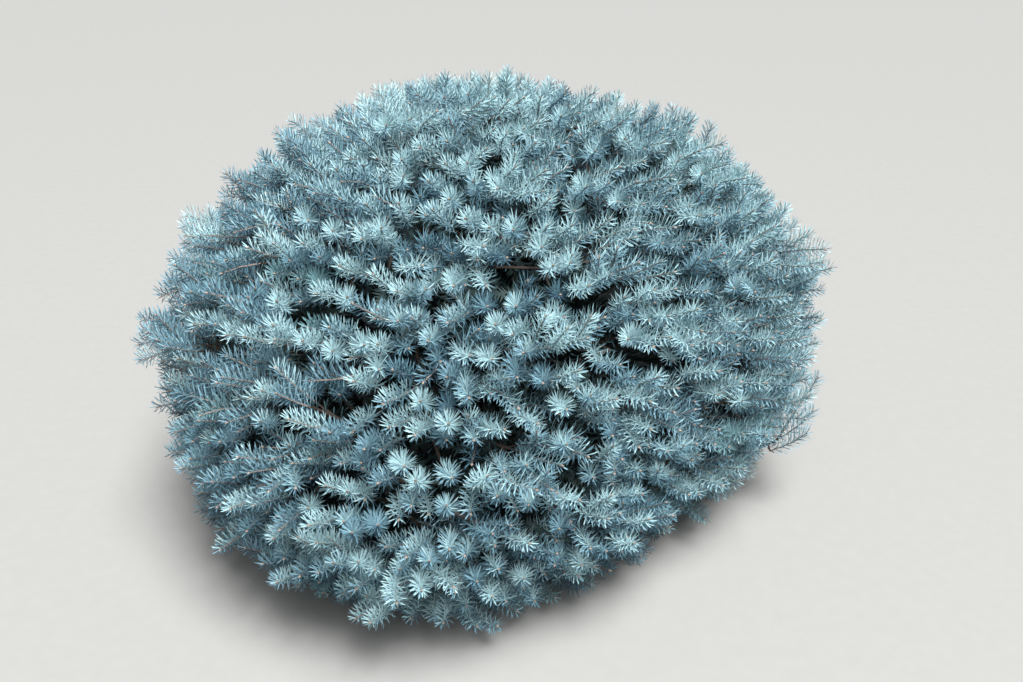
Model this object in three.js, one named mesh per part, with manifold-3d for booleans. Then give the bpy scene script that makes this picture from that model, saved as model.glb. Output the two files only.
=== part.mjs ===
// Globe blue spruce: a low, dense, dome-shaped conifer shrub rooted in the ground, its skirt reaching the soil.
// Millimetres, +Z up. The origin is the centre of the trunk's flat cut at ground level.
//
// A short trunk carries three whorls of boughs. Each bough, and the trunk's own tip, carries a mass of foliage:
// a stem that forks into twigs, sprays of needles at the twigs' ends that reach the crown's surface, and a dense
// inside with teeth, its share of a lumpy dome that is parted between the masses.

import * as THREE from "three";
import { mergeVertices } from "three/addons/utils/BufferGeometryUtils.js";
import Module from "manifold-3d";

const wasm = await Module();
wasm.setup();

// The crown, a flattened dome that is slightly lobed seen from above
const CROWN_RADIUS = 587;
const CROWN_HEIGHT = 745;
const WIDEST_HEIGHT = 294;
const FOOT_SHARE = 0.73; // the radius at the ground over the widest radius
const LOBES = [
  { waves: 1, swell: 0.028, heading: 84 },
  { waves: 2, swell: 0.042, heading: 118 },
  { waves: 3, swell: 0.05, heading: -3 },
  { waves: 4, swell: 0.03, heading: 24 },
];
const HEART = new THREE.Vector3(0, 0, 190); // the point that the crown spreads from
const BARE_SHARE = 0.42; // the part of the way from the heart to the surface that has no foliage
const SOIL_GAP = 4; // the lowest needles stay this far above the ground

// The trunk
const TRUNK_HEIGHT = 395;
const TRUNK_LEAN = new THREE.Vector3(-14, 10, 0);
const TRUNK_FOOT_RADIUS = 36;
const TRUNK_TIP_RADIUS = 11;
const TRUNK_SIDES = 15;
const TRUNK_STATIONS = [0, 0.05, 0.12, 0.22, 0.36, 0.6, 0.8, 1];
const FLARE_RADIUS = 26; // what the root flare adds at the ground
const FLARE_HEIGHT = 55; // the height over which the flare dies away
const FLARE_ROOTS = 5;
const FLARE_DEPTH = 0.3; // how far the roots of the flare stand out and in, as a share of the radius

// The whorls of boughs. rise is the slope of the line from the heart to the middle of a mass, in degrees
const WHORLS = [
  { name: "skirt", count: 6, rise: -9, twist: 12, start: 58, radius: 13 },
  { name: "middle", count: 6, rise: 22, twist: 42, start: 142, radius: 12 },
  { name: "upper", count: 4, rise: 53, twist: 4, start: 240, radius: 10 },
];
const WHORL_SPREAD = 3; // how far a bough strays from its even place, in degrees
const WHORL_STEP = 34; // every other bough of a whorl leaves the trunk this much higher
const BOUGH_RISE = 34; // the slope at which a bough leaves the trunk, in degrees
const BOUGH_BEND = 0.4; // how far a bough keeps to its direction at either end, as a share of its length
const BOUGH_TAPER = 0.55;
const BOUGH_SIDES = 5;
const BOUGH_RINGS = 4;
const MASS_SHARE = 0.66; // where a mass has its middle, from the heart to the surface

// The foliage
const SPRAYS = 165; // places for sprays, spread evenly over the crown
const LOWEST_SPRAY = -19; // the slope of the lowest sprays from the heart, in degrees
const TUFT_STRAY = 22; // how far sprays stand proud of the smooth dome, or stay short of it
const BRUSH_LENGTH = 76; // the needled end of a spray
const BRUSH_RADIUS = 9;
const BRUSH_SHOULDER = 0.4; // where a brush starts to narrow, from its tip, as a share of its length
const NEEDLE_LENGTH = 42;
const NEEDLE_LEAN = 58; // between a needle and its twig, in degrees
const STEM_FORK = 0.36; // where the stem forks, from the bough's tip to the middle of its sprays
const TWIG_FORK = 0.42; // where a twig forks to its sprays, from the stem's fork to the middle of them
const SPRAYS_PER_TWIG = 4;
const TWIG_RADIUS = 6;
const STALK_RADIUS = 4;
const SETTLE_ROUNDS = 10; // how often a spray is pushed back into its mass's space before it is skipped

// The dense inside, a lumpy dome parted between the masses
const CORE_DEPTH = 0.82; // how far out it reaches, where the crown's surface is 1
const CORE_LUMPS = 0.05; // how far short of that it may stay, as a share of its reach
const CORE_TEETH = 0.12; // how far its teeth of old needles stand out, as a share of its reach
const CORE_DETAIL = 5;
const CORE_FLOOR = 34; // its height above the ground

const GAP = 0.3; // between solids that touch on the real plant
const ROOM = 1; // each mass keeps this far inside its own space
const HALVINGS = 24;
const GOLDEN_TURN = Math.PI * (3 - Math.sqrt(5));
const UP = new THREE.Vector3(0, 0, 1);

const bark = new THREE.MeshStandardMaterial({ color: 0x6b5140, roughness: 0.9, metalness: 0 });
const needles = new THREE.MeshStandardMaterial({ color: 0x86a9b1, roughness: 0.6, metalness: 0 });

const { degToRad, lerp } = THREE.MathUtils;

// A number from 0 to 1, always the same for the same two whole numbers.
function scatter(a, b) {
  const wave = Math.sin(a * 12.9898 + b * 78.233) * 43758.5453;
  return wave - Math.floor(wave);
}

// The unit vector at an azimuth round the trunk and a slope above the level, both in radians.
function heading(azimuth, rise) {
  return new THREE.Vector3(
    Math.cos(rise) * Math.cos(azimuth),
    Math.cos(rise) * Math.sin(azimuth),
    Math.sin(rise),
  );
}

// Two unit vectors at right angles to an axis and to each other.
function across(axis) {
  const aside = Math.abs(axis.z) > 0.9 ? new THREE.Vector3(0, 1, 0) : UP;
  const side = new THREE.Vector3().crossVectors(aside, axis).normalize();
  return [side, new THREE.Vector3().crossVectors(axis, side)];
}

const centreOf = (points) =>
  points.reduce((sum, point) => sum.add(point), new THREE.Vector3()).divideScalar(points.length);

function crownRadius(azimuth) {
  const swell = (sum, lobe) => sum + lobe.swell * Math.cos(lobe.waves * azimuth - degToRad(lobe.heading));
  return CROWN_RADIUS * LOBES.reduce(swell, 1);
}

// How far out a point lies: 0 on the trunk's line, 1 on the crown's surface.
function crownShare(point) {
  const out = Math.hypot(point.x, point.y) / crownRadius(Math.atan2(point.y, point.x));
  if (point.z > WIDEST_HEIGHT) {
    return Math.hypot(out, (point.z - WIDEST_HEIGHT) / (CROWN_HEIGHT - WIDEST_HEIGHT));
  }
  const drop = (WIDEST_HEIGHT - point.z) / WIDEST_HEIGHT;
  return out / (1 - (1 - FOOT_SHARE) * drop * drop);
}

const fromHeart = (direction, distance) => HEART.clone().addScaledVector(direction, distance);

// The last distance from the heart at which a test still holds, found by halving.
function farthest(direction, holds) {
  let near = 0;
  let far = 2 * CROWN_RADIUS;
  for (let step = 0; step < HALVINGS; step++) {
    const middle = (near + far) / 2;
    if (holds(fromHeart(direction, middle))) near = middle;
    else far = middle;
  }
  return near;
}

const inCrown = (point) => point.z > SOIL_GAP && crownShare(point) < 1;
const inDome = (point) => point.z > CORE_FLOOR && crownShare(point) < CORE_DEPTH;
const toSurface = (direction) => farthest(direction, inCrown);

// A closed geometry as a solid to join and cut. Faces that have closed up to a line are dropped.
function solidOf(geometry) {
  const bare = geometry.clone();
  bare.deleteAttribute("normal");
  bare.deleteAttribute("uv");
  const merged = mergeVertices(bare, 1e-3);
  const index = merged.index.array;
  const triVerts = [];
  for (let i = 0; i < index.length; i += 3) {
    const [a, b, c] = [index[i], index[i + 1], index[i + 2]];
    if (a !== b && b !== c && c !== a) triVerts.push(a, b, c);
  }
  return new wasm.Manifold(
    new wasm.Mesh({
      numProp: 3,
      vertProperties: new Float32Array(merged.attributes.position.array),
      triVerts: new Uint32Array(triVerts),
    }),
  );
}

function geometryOf(solid) {
  const mesh = solid.getMesh();
  const geometry = new THREE.BufferGeometry();
  geometry.setAttribute("position", new THREE.BufferAttribute(mesh.vertProperties, 3));
  geometry.setIndex(new THREE.BufferAttribute(mesh.triVerts, 1));
  geometry.computeVertexNormals();
  return geometry;
}

// The facets of a geometry, three corners each, without those that have closed up to a line.
function facets(geometry) {
  const flat = geometry.index ? geometry.toNonIndexed() : geometry;
  const corner = (i) => new THREE.Vector3().fromBufferAttribute(flat.attributes.position, i);
  const count = flat.attributes.position.count / 3;
  const all = Array.from({ length: count }, (_, i) => [corner(3 * i), corner(3 * i + 1), corner(3 * i + 2)]);
  return all.filter(([a, b, c]) => new THREE.Triangle(a, b, c).getArea() > 1e-6);
}

// Three facets that rise from a facet's sides to a point.
const toothOn = ([a, b, c], point) => [a, b, point, b, c, point, c, a, point];

// A cylinder bent along a curve. Its rings stand at the stations, shares of the way along, each ring turned a
// little further by twist. radiusAt gives the radius from that share and the angle round.
function limb(curve, radiusAt, sides, stations, twist = 0) {
  const rings = stations.length - 1;
  const geometry = new THREE.CylinderGeometry(1, 1, 1, sides, rings);
  const position = geometry.attributes.position;
  for (let i = 0; i < position.count; i++) {
    const ring = Math.round((position.getY(i) + 0.5) * rings);
    const along = stations[ring];
    const angle = Math.atan2(position.getZ(i), position.getX(i)) + twist * ring;
    const size = Math.hypot(position.getX(i), position.getZ(i)) * radiusAt(along, angle);
    const [side, front] = across(curve.getTangent(along));
    const point = curve
      .getPoint(along)
      .addScaledVector(side, size * Math.cos(angle))
      .addScaledVector(front, -size * Math.sin(angle));
    position.setXYZ(i, point.x, point.y, point.z);
  }
  return geometry;
}

// Even stations from one end of a limb to the other.
const evenly = (count) => Array.from({ length: count + 1 }, (_, i) => i / count);

// A straight twig, thinner at its end.
function twig(from, to) {
  const radiusAt = (along) => lerp(TWIG_RADIUS, STALK_RADIUS, along);
  return limb(new THREE.LineCurve3(from, to), radiusAt, 3, [0, 1]);
}

const trunkLine = new THREE.QuadraticBezierCurve3(
  new THREE.Vector3(),
  new THREE.Vector3(0, 0, TRUNK_HEIGHT / 2),
  TRUNK_LEAN.clone().setZ(TRUNK_HEIGHT),
);

// The trunk, with something added to its radius.
function trunkWith(extra) {
  const radiusAt = (along, angle) => {
    const flare = Math.exp((-along * TRUNK_HEIGHT) / FLARE_HEIGHT);
    const roots = 1 + FLARE_DEPTH * flare * Math.cos(FLARE_ROOTS * angle);
    return (lerp(TRUNK_FOOT_RADIUS, TRUNK_TIP_RADIUS, along) + FLARE_RADIUS * flare) * roots + extra;
  };
  return solidOf(limb(trunkLine, radiusAt, TRUNK_SIDES, TRUNK_STATIONS));
}

// The masses of foliage, each with its axis from the heart and the point where its stem starts.
function makeMasses() {
  const masses = [];
  WHORLS.forEach((whorl, tier) => {
    for (let i = 0; i < whorl.count; i++) {
      const stray = (2 * scatter(tier + 1, i + 1) - 1) * WHORL_SPREAD;
      const azimuth = degToRad(whorl.twist + (360 * i) / whorl.count + stray);
      const axis = heading(azimuth, degToRad(whorl.rise + stray / 2));
      const reach = toSurface(axis);
      masses.push({
        name: whorl.name + "_" + (i + 1),
        leaves: whorl.start + (i % 2) * WHORL_STEP,
        boughRadius: whorl.radius,
        stemRadius: whorl.radius * BOUGH_TAPER,
        azimuth,
        axis,
        start: fromHeart(axis, BARE_SHARE * reach),
        middle: fromHeart(axis, MASS_SHARE * reach),
      });
    }
  });
  masses.push({
    name: "top",
    stemRadius: TRUNK_TIP_RADIUS,
    axis: trunkLine.getTangent(1),
    start: trunkLine.getPoint(1),
    middle: fromHeart(UP, MASS_SHARE * toSurface(UP)),
  });
  return masses;
}

// A bough leaves the trunk at its own height and bends round to meet its mass square on.
function boughOf(mass, trunkHollow) {
  const root = trunkLine.getPoint(mass.leaves / TRUNK_HEIGHT);
  const length = mass.start.distanceTo(root);
  const outward = heading(mass.azimuth, degToRad(BOUGH_RISE));
  const curve = new THREE.CubicBezierCurve3(
    root,
    root.clone().addScaledVector(outward, length * BOUGH_BEND),
    mass.start.clone().addScaledVector(mass.axis, -length * BOUGH_BEND),
    mass.start,
  );
  const radiusAt = (along) => lerp(mass.boughRadius, mass.stemRadius, along);
  return solidOf(limb(curve, radiusAt, BOUGH_SIDES, evenly(BOUGH_RINGS))).subtract(trunkHollow);
}

// The flat walls of a mass's own space: halfway to each other mass, at its bough's tip and just above the soil.
function wallsOf(mass, masses) {
  const walls = masses
    .filter((other) => other !== mass)
    .map((other) => {
      const normal = other.middle.clone().sub(mass.middle).normalize();
      return { normal, limit: normal.dot(centreOf([mass.middle, other.middle])) - ROOM };
    });
  walls.push({ normal: mass.axis.clone().negate(), limit: -mass.axis.dot(mass.start) - GAP });
  walls.push({ normal: UP.clone().negate(), limit: -SOIL_GAP });
  return walls;
}

// Everything beyond a flat wall, as a box to cut away.
function beyond({ normal, limit }) {
  const size = 4 * CROWN_RADIUS;
  const box = new THREE.BoxGeometry(size, size, size).translate(0, 0, size / 2);
  box.applyQuaternion(new THREE.Quaternion().setFromUnitVectors(UP, normal));
  return solidOf(box.translate(normal.x * limit, normal.y * limit, normal.z * limit));
}

// The dense inside of the whole crown: a ball pulled out to below the crown's surface, a tooth on each facet.
function innerDome() {
  const pulled = (corner, teeth) => {
    const direction = corner.clone().normalize();
    const mark = Math.round(1000 * (direction.x + 2 * direction.y + 3 * direction.z));
    const lump = CORE_LUMPS * scatter(mark, 7);
    return fromHeart(direction, farthest(direction, inDome) * (1 + teeth - lump));
  };
  const points = facets(new THREE.IcosahedronGeometry(1, CORE_DETAIL)).flatMap((corners) => {
    const base = corners.map((corner) => pulled(corner, 0));
    return toothOn(base, pulled(centreOf(corners), CORE_TEETH));
  });
  return solidOf(new THREE.BufferGeometry().setFromPoints(points));
}

// A slim three-sided core from its twig's end to its tip, a needle standing out of each face past the stalk.
function spray(root, tip) {
  const length = root.distanceTo(tip);
  const brush = Math.min(BRUSH_LENGTH, length - STALK_RADIUS) / length;
  const stations = [0, 1 - brush, 1 - BRUSH_SHOULDER * brush, 1];
  const radii = [STALK_RADIUS, BRUSH_RADIUS, BRUSH_RADIUS, 0];
  const radiusAt = (along) => radii[stations.indexOf(along)];
  const core = limb(new THREE.LineCurve3(root, tip), radiusAt, 3, stations, Math.PI / 3);
  const axis = tip.clone().sub(root).normalize();
  const points = facets(core).flatMap((corners) => {
    const middle = centreOf(corners);
    if (middle.clone().sub(root).dot(axis) < stations[1] * length) return corners;
    const outward = new THREE.Triangle(...corners).getNormal(new THREE.Vector3());
    outward.projectOnPlane(axis).normalize();
    const needle = middle
      .addScaledVector(outward, NEEDLE_LENGTH * Math.sin(degToRad(NEEDLE_LEAN)))
      .addScaledVector(axis, NEEDLE_LENGTH * Math.cos(degToRad(NEEDLE_LEAN)));
    return toothOn(corners, needle);
  });
  return new THREE.BufferGeometry().setFromPoints(points);
}

// The places that the sprays reach: a spiral of even steps over the crown's surface, each a bit proud or short.
function sprayTips() {
  const lowest = Math.sin(degToRad(LOWEST_SPRAY));
  return Array.from({ length: SPRAYS }, (_, i) => {
    const direction = heading(i * GOLDEN_TURN, Math.asin(lerp(1, lowest, (i + 0.5) / SPRAYS)));
    const proud = (2 * scatter(i + 1, 3) - 1) * TUFT_STRAY;
    return fromHeart(direction, toSurface(direction) + proud);
  });
}

const nearest = (places, point) =>
  places.reduce((best, place) => (place.distanceTo(point) < best.distanceTo(point) ? place : best));

// Sorts points into groups about a few of them that lie far apart.
function grouped(points, count) {
  const seeds = [points[0]];
  const toSeeds = (point) => nearest(seeds, point).distanceTo(point);
  while (seeds.length < Math.min(count, points.length)) {
    seeds.push(points.reduce((best, point) => (toSeeds(point) > toSeeds(best) ? point : best)));
  }
  return seeds.map((seed) => points.filter((point) => nearest(seeds, point) === seed));
}

// The wall that a geometry crosses furthest, and by how much.
function crossing(geometry, walls) {
  const position = geometry.attributes.position;
  const point = new THREE.Vector3();
  let worst = { over: 0, normal: UP };
  for (let i = 0; i < position.count; i++) {
    point.fromBufferAttribute(position, i);
    for (const { normal, limit } of walls) {
      const over = normal.dot(point) - limit;
      if (over > worst.over) worst = { over, normal };
    }
  }
  return worst;
}

// A spray whose tip is pushed back from the walls that it would cross. It is skipped where that fails.
function settled(root, tip, walls) {
  const end = tip.clone();
  for (let round = 0; round < SETTLE_ROUNDS; round++) {
    const geometry = spray(root, end);
    const { over, normal } = crossing(geometry, walls);
    if (over === 0) return [solidOf(geometry)];
    end.addScaledVector(normal, -over - ROOM);
  }
  return [];
}

// The stem that grows on from a bough's tip, or from the trunk's, to where it forks.
function stemOf(mass, fork) {
  const start = mass.start.clone().addScaledVector(mass.axis, GAP);
  const bend = start.clone().addScaledVector(mass.axis, start.distanceTo(fork) / 2);
  const radiusAt = (along) => lerp(mass.stemRadius, TWIG_RADIUS, along);
  return solidOf(limb(new THREE.QuadraticBezierCurve3(start, bend, fork), radiusAt, BOUGH_SIDES, evenly(2)));
}

// One mass, all of it inside its own space: its stem, its share of the dense inside, its twigs and sprays.
function foliageOf(mass, masses, tips, dome) {
  const walls = wallsOf(mass, masses);
  const fork = mass.start.clone().lerp(centreOf(tips), STEM_FORK);
  const core = walls.reduce((rest, wall) => rest.subtract(beyond(wall)), dome);
  const twigs = grouped(tips, Math.ceil(tips.length / SPRAYS_PER_TWIG)).flatMap((group) => {
    const end = fork.clone().lerp(centreOf(group), TWIG_FORK);
    return [solidOf(twig(fork, end)), ...group.flatMap((tip) => settled(end, tip, walls))];
  });
  return twigs.reduce((whole, solid) => whole.add(solid), core.add(stemOf(mass, fork)));
}

function named(name, solid, material) {
  const mesh = new THREE.Mesh(geometryOf(solid), material.clone());
  mesh.name = name;
  return mesh;
}

const spruce = new THREE.Group();
spruce.add(named("trunk", trunkWith(0), bark));

const masses = makeMasses();
const middles = masses.map((mass) => mass.middle);
const trunkHollow = trunkWith(GAP);
const dome = innerDome();
const tips = sprayTips();
for (const mass of masses) {
  if (mass.boughRadius) spruce.add(named("bough_" + mass.name, boughOf(mass, trunkHollow), bark));
  const own = tips.filter((tip) => nearest(middles, tip) === mass.middle);
  spruce.add(named("foliage_" + mass.name, foliageOf(mass, masses, own, dome), needles));
}

export default spruce;
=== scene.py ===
"""Globe blue spruce, a low dense domed conifer rooted in the ground: its looks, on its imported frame.

Metres, +Z up, in the frame of the CAD model. The shrub grows here by the same rule as its solids: a short
trunk, three whorls of boughs, a stem on each bough's tip that forks into twigs, and sprays at the ends of
the twigs, which reach the crown's surface. Each spray is carried on here to flat fans of shoots with their
needles and buds, and single shoots close the holes between the fans. Brackets after what a docstring says of
an array name its axes.
"""

from __future__ import annotations

import logging
import math
from dataclasses import dataclass, field
from enum import Enum

import bmesh
import bpy
import numpy as np
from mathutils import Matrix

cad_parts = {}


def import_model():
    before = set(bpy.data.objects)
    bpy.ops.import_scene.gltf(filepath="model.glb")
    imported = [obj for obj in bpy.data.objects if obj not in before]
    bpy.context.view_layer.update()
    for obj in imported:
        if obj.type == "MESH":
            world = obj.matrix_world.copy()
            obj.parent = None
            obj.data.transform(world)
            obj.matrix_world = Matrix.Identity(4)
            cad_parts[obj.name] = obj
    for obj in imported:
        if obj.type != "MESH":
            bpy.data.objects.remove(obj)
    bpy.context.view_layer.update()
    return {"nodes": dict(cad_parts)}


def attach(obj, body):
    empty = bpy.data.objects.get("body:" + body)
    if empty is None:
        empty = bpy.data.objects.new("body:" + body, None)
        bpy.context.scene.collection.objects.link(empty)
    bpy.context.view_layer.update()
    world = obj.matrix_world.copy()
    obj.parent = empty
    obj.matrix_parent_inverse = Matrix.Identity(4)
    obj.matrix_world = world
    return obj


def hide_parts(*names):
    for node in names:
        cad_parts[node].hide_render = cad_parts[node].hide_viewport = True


LOG = logging.getLogger("globe_spruce")
Array = np.ndarray
Shape = tuple[Array, Array]  # corners (n, 3), in metres, and triangles (m, 3)
UP = np.array([0.0, 0.0, 1.0])
GOLDEN_TURN = math.pi * (3 - math.sqrt(5))
PIECE_TRIANGLES = 190_000  # the most triangles in one joined piece
MOST_SHOOTS = 6000
MIX_SHARE, MIX_FIRST, MIX_SECOND = 0, 6, 7  # the mix node's inputs, for colours
MIX_RESULT = 2  # its output for colours
STEEP = 0.9  # the upright part of a unit vector above which it counts as upright
LEAST_HEIGHT = 0.002  # no corner of a needle lies lower
LEAFY_RADIUS = 0.005  # thinner wood carries old needles
LEAN_WAYS = (0, 0.9, 1)  # shares of the way to a shoot's tip, for the needles' leans
SHORT_WAYS = (0, 0.1, 0.8, 1)  # shares of the way to a shoot's tip, for the needles' lengths
NEEDLE_FACES = np.array([(0, 1, 3), (0, 3, 2), (2, 3, 4)])


def scatter(a: Array | float, b: float) -> Array | float:
    """Give the number from 0 to 1 that the solids have for the same two whole numbers."""
    wave = np.sin(a * 12.9898 + b * 78.233) * 43758.5453
    return wave - np.floor(wave)


def heading(azimuth: Array | float, rise: Array | float) -> Array:
    """Give the unit vectors at an azimuth round the trunk and a slope above the level, in radians."""
    level = np.cos(rise)
    return np.stack([level * np.cos(azimuth), level * np.sin(azimuth), np.sin(rise) + 0 * level], axis=-1)


def unit(vectors: Array) -> Array:
    """Scale vectors to length 1."""
    shortest = 1e-12  # keeps a vector of no length from a division by nothing
    return vectors / np.maximum(np.linalg.norm(vectors, axis=-1, keepdims=True), shortest)


def mix(a: Array | float, b: Array | float, share: Array | float) -> Array:
    """Go from a to b by a share from 0 to 1."""
    return a + (b - a) * share


def turned(vector: Array, pole: Array, angle: float) -> Array:
    """Turn a vector by an angle in radians, about a unit vector at right angles to it."""
    return vector * math.cos(angle) + np.cross(pole, vector) * math.sin(angle)


def bezier(points: Array, along: Array) -> Array:
    """Read quadratic curves at shares of their way.

    Args:
        points: the three control points of each curve (curves, 3, 3).
        along: the shares (curves, stations).

    Returns:
        The points on the curves (curves, stations, 3).
    """
    a, b, c = points[:, None, 0], points[:, None, 1], points[:, None, 2]
    t = along[..., None]
    return (1 - t) ** 2 * a + 2 * t * (1 - t) * b + t**2 * c


def bezier_slope(points: Array, along: Array) -> Array:
    """Read the unit directions of quadratic curves at shares of their way.

    Args:
        points: the three control points of each curve (curves, 3, 3).
        along: the shares (curves, stations).

    Returns:
        The unit tangents (curves, stations, 3).
    """
    a, b, c = points[:, None, 0], points[:, None, 1], points[:, None, 2]
    t = along[..., None]
    return unit((1 - t) * (b - a) + t * (c - b))


def lengths_of(points: Array) -> Array:
    """Measure quadratic curves, near enough, by two straight steps each.

    Args:
        points: the three control points of each curve (curves, 3, 3).

    Returns:
        The lengths (curves,).
    """
    middle = bezier(points, np.full((len(points), 1), 0.5))[:, 0]
    first = np.linalg.norm(middle - points[:, 0], axis=1)
    return first + np.linalg.norm(points[:, 2] - middle, axis=1)


def linear(colour: str) -> tuple[float, float, float, float]:
    """Turn an sRGB hex colour such as "#86a9b1" into linear RGBA.

    Args:
        colour: the colour, with its leading hash sign.

    Returns:
        Red, green, blue and alpha, each from 0 to 1.
    """
    parts = [int(colour[i : i + 2], 16) / 255 for i in (1, 3, 5)]
    bent = [p / 12.92 if p <= 0.04045 else ((p + 0.055) / 1.055) ** 2.4 for p in parts]
    return (bent[0], bent[1], bent[2], 1.0)


def add_node(tree: bpy.types.NodeTree, kind: str, settings: dict, links: dict) -> bpy.types.Node:
    """Add a node to a material, with its settings and links.

    Args:
        tree: the material's node tree.
        kind: the node's type name in Blender.
        settings: values by attribute name, or by input name or number for a socket's own value.
        links: output sockets by the name or number of the input that each goes into.

    Returns:
        The new node.
    """
    node = tree.nodes.new(kind)
    for name, value in settings.items():
        if isinstance(name, str) and hasattr(node, name):
            setattr(node, name, value)
        else:
            node.inputs[name].default_value = value
    for name, socket in links.items():
        tree.links.new(socket, node.inputs[name])
    return node


def new_material(name: str) -> tuple[bpy.types.Material, bpy.types.NodeTree, bpy.types.NodeSocket]:
    """Start an empty node material.

    Args:
        name: the material's name.

    Returns:
        The material, its node tree, and the socket with the place on the plant in metres.
    """
    material = bpy.data.materials.new(name)
    material.use_nodes = True
    tree = material.node_tree
    tree.nodes.clear()
    place = add_node(tree, "ShaderNodeTexCoord", {}, {})
    return material, tree, place.outputs["Object"]


def finish_material(
    material: bpy.types.Material, pattern: bpy.types.NodeSocket, tones: tuple, settings: dict, links: dict
) -> bpy.types.Material:
    """Mix two colours by a pattern and close a material with its surface shader and output.

    Args:
        material: the material.
        pattern: the output that mixes the colours.
        tones: the colours where it is 0 and where it is 1, each an sRGB hex colour or an output.
        settings: the surface shader's own values, by socket name.
        links: outputs, by the name of the shader's input.

    Returns:
        The material.
    """
    tree = material.node_tree
    values = {"data_type": "RGBA"}
    sources = {MIX_SHARE: pattern}
    for side, tone in zip((MIX_FIRST, MIX_SECOND), tones):
        if isinstance(tone, str):
            values[side] = linear(tone)
        else:
            sources[side] = tone
    mixed = add_node(tree, "ShaderNodeMix", values, sources)
    links = {"Base Color": mixed.outputs[MIX_RESULT], **links}
    surface = add_node(tree, "ShaderNodeBsdfPrincipled", settings, links)
    add_node(tree, "ShaderNodeOutputMaterial", {}, {"Surface": surface.outputs["BSDF"]})
    return material


def place_object(name: str, data: bpy.types.ID, place: tuple, turn: tuple) -> bpy.types.Object:
    """Add an object to the scene.

    Args:
        name: its name.
        data: its mesh, light or camera.
        place: where it stands, in metres.
        turn: its turns about x, y and z, in radians.

    Returns:
        The new object.
    """
    thing = bpy.data.objects.new(name, data)
    thing.location = place
    thing.rotation_euler = turn
    bpy.context.scene.collection.objects.link(thing)
    return thing


def mesh_piece(name: str, shape: Shape, smooth: bool) -> bpy.types.Object:
    """Make an object from corners and triangles.

    Args:
        name: the piece's name.
        shape: its corners and triangles.
        smooth: whether light runs smoothly over the facets.

    Returns:
        The new object, at the origin.
    """
    corners, faces = shape
    mesh = bpy.data.meshes.new(name)
    mesh.vertices.add(len(corners))
    mesh.vertices.foreach_set("co", corners.astype(np.float32).ravel())
    mesh.loops.add(3 * len(faces))
    mesh.loops.foreach_set("vertex_index", faces.astype(np.int32).ravel())
    mesh.polygons.add(len(faces))
    mesh.polygons.foreach_set("loop_start", np.arange(0, 3 * len(faces), 3, dtype=np.int32))
    mesh.update(calc_edges=True)
    if smooth:
        mesh.shade_smooth()
    else:
        mesh.shade_flat()
    return place_object(name, mesh, (0, 0, 0), (0, 0, 0))


def settle_piece(piece: bpy.types.Object, material: bpy.types.Material, slot: str, nodes: list[str]) -> None:
    """Give a piece its finish and its place in the frame, and report it.

    Args:
        piece: the piece.
        material: its finish.
        slot: not used.
        nodes: the solids that it stands for.
    """
    piece.data.materials.append(material)
    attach(piece, "root")
    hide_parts(*nodes)
    LOG.info("%s: %d triangles, for %d solids", piece.name, len(piece.data.polygons), len(nodes))


def joined(corners: Array, faces: Array) -> Shape:
    """Join bodies with these corners (bodies, corners, 3) that all have the same triangles."""
    offset = (np.arange(len(corners)) * corners.shape[1])[:, None, None]
    return corners.reshape(-1, 3), (faces[None] + offset).reshape(-1, 3)


def tubes(centres: Array, radii: Array, sides: int) -> Shape:
    """Sweep closed round limbs along lines of points.

    Args:
        centres: the lines (limbs, stations, 3).
        radii: the radius at each station (limbs, stations) or (limbs, stations, sides).
        sides: how many sides each limb has.

    Returns:
        The corners and triangles of all the limbs.
    """
    limbs, stations = centres.shape[:2]
    chord = unit(centres[:, -1] - centres[:, 0])
    aside = np.where(np.abs(chord[:, 2:]) > STEEP, np.eye(3)[1], UP)
    tangent = unit(np.gradient(centres, axis=1))
    side = unit(np.cross(aside, chord))[:, None]
    side = unit(side - tangent * (side * tangent).sum(-1, keepdims=True))
    front = np.cross(tangent, side)
    angle = np.arange(sides) * 2 * math.pi / sides
    radii = radii if radii.ndim == 3 else radii[..., None]
    cosine, sine = np.cos(angle)[:, None], np.sin(angle)[:, None]
    ring = side[:, :, None] * cosine - front[:, :, None] * sine
    corners = (centres[:, :, None] + ring * radii[..., None]).reshape(limbs, -1, 3)
    corners = np.concatenate([corners, centres[:, :1], centres[:, -1:]], axis=1)
    faces = []
    start, end = stations * sides, stations * sides + 1
    for row in range(stations - 1):
        for i in range(sides):
            a, b = row * sides + i, row * sides + (i + 1) % sides
            faces += [(a, a + sides, b), (b, a + sides, b + sides)]
    last = (stations - 1) * sides
    for i in range(sides):
        faces += [(start, i, (i + 1) % sides), (end, last + (i + 1) % sides, last + i)]
    return joined(corners, np.array(faces))


def tapered_limbs(curves: Array, spans: Array, radii: Array, stations: int, sides: int) -> Shape:
    """Make tapering round limbs along stretches of quadratic curves.

    Args:
        curves: the limbs' control points (limbs, 3, 3).
        spans: the shares of its curve's way where each limb starts and ends (limbs, 2).
        radii: its radius there (limbs, 2).
        stations: how many rings of corners each limb has.
        sides: how many sides it has.

    Returns:
        The corners and triangles of all the limbs.
    """
    steps = np.linspace(0, 1, stations)[None]
    centres = bezier(curves, mix(spans[:, :1], spans[:, 1:], steps))
    return tubes(centres, mix(radii[:, :1], radii[:, 1:], steps), sides)


@dataclass(frozen=True)
class Lobe:
    """A slow swell of the crown's outline, seen from above."""

    waves: int  # how many swells go round the crown
    swell: float  # how far they stand out, as a share of the radius
    heading: float  # where the first one stands, in degrees


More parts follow.
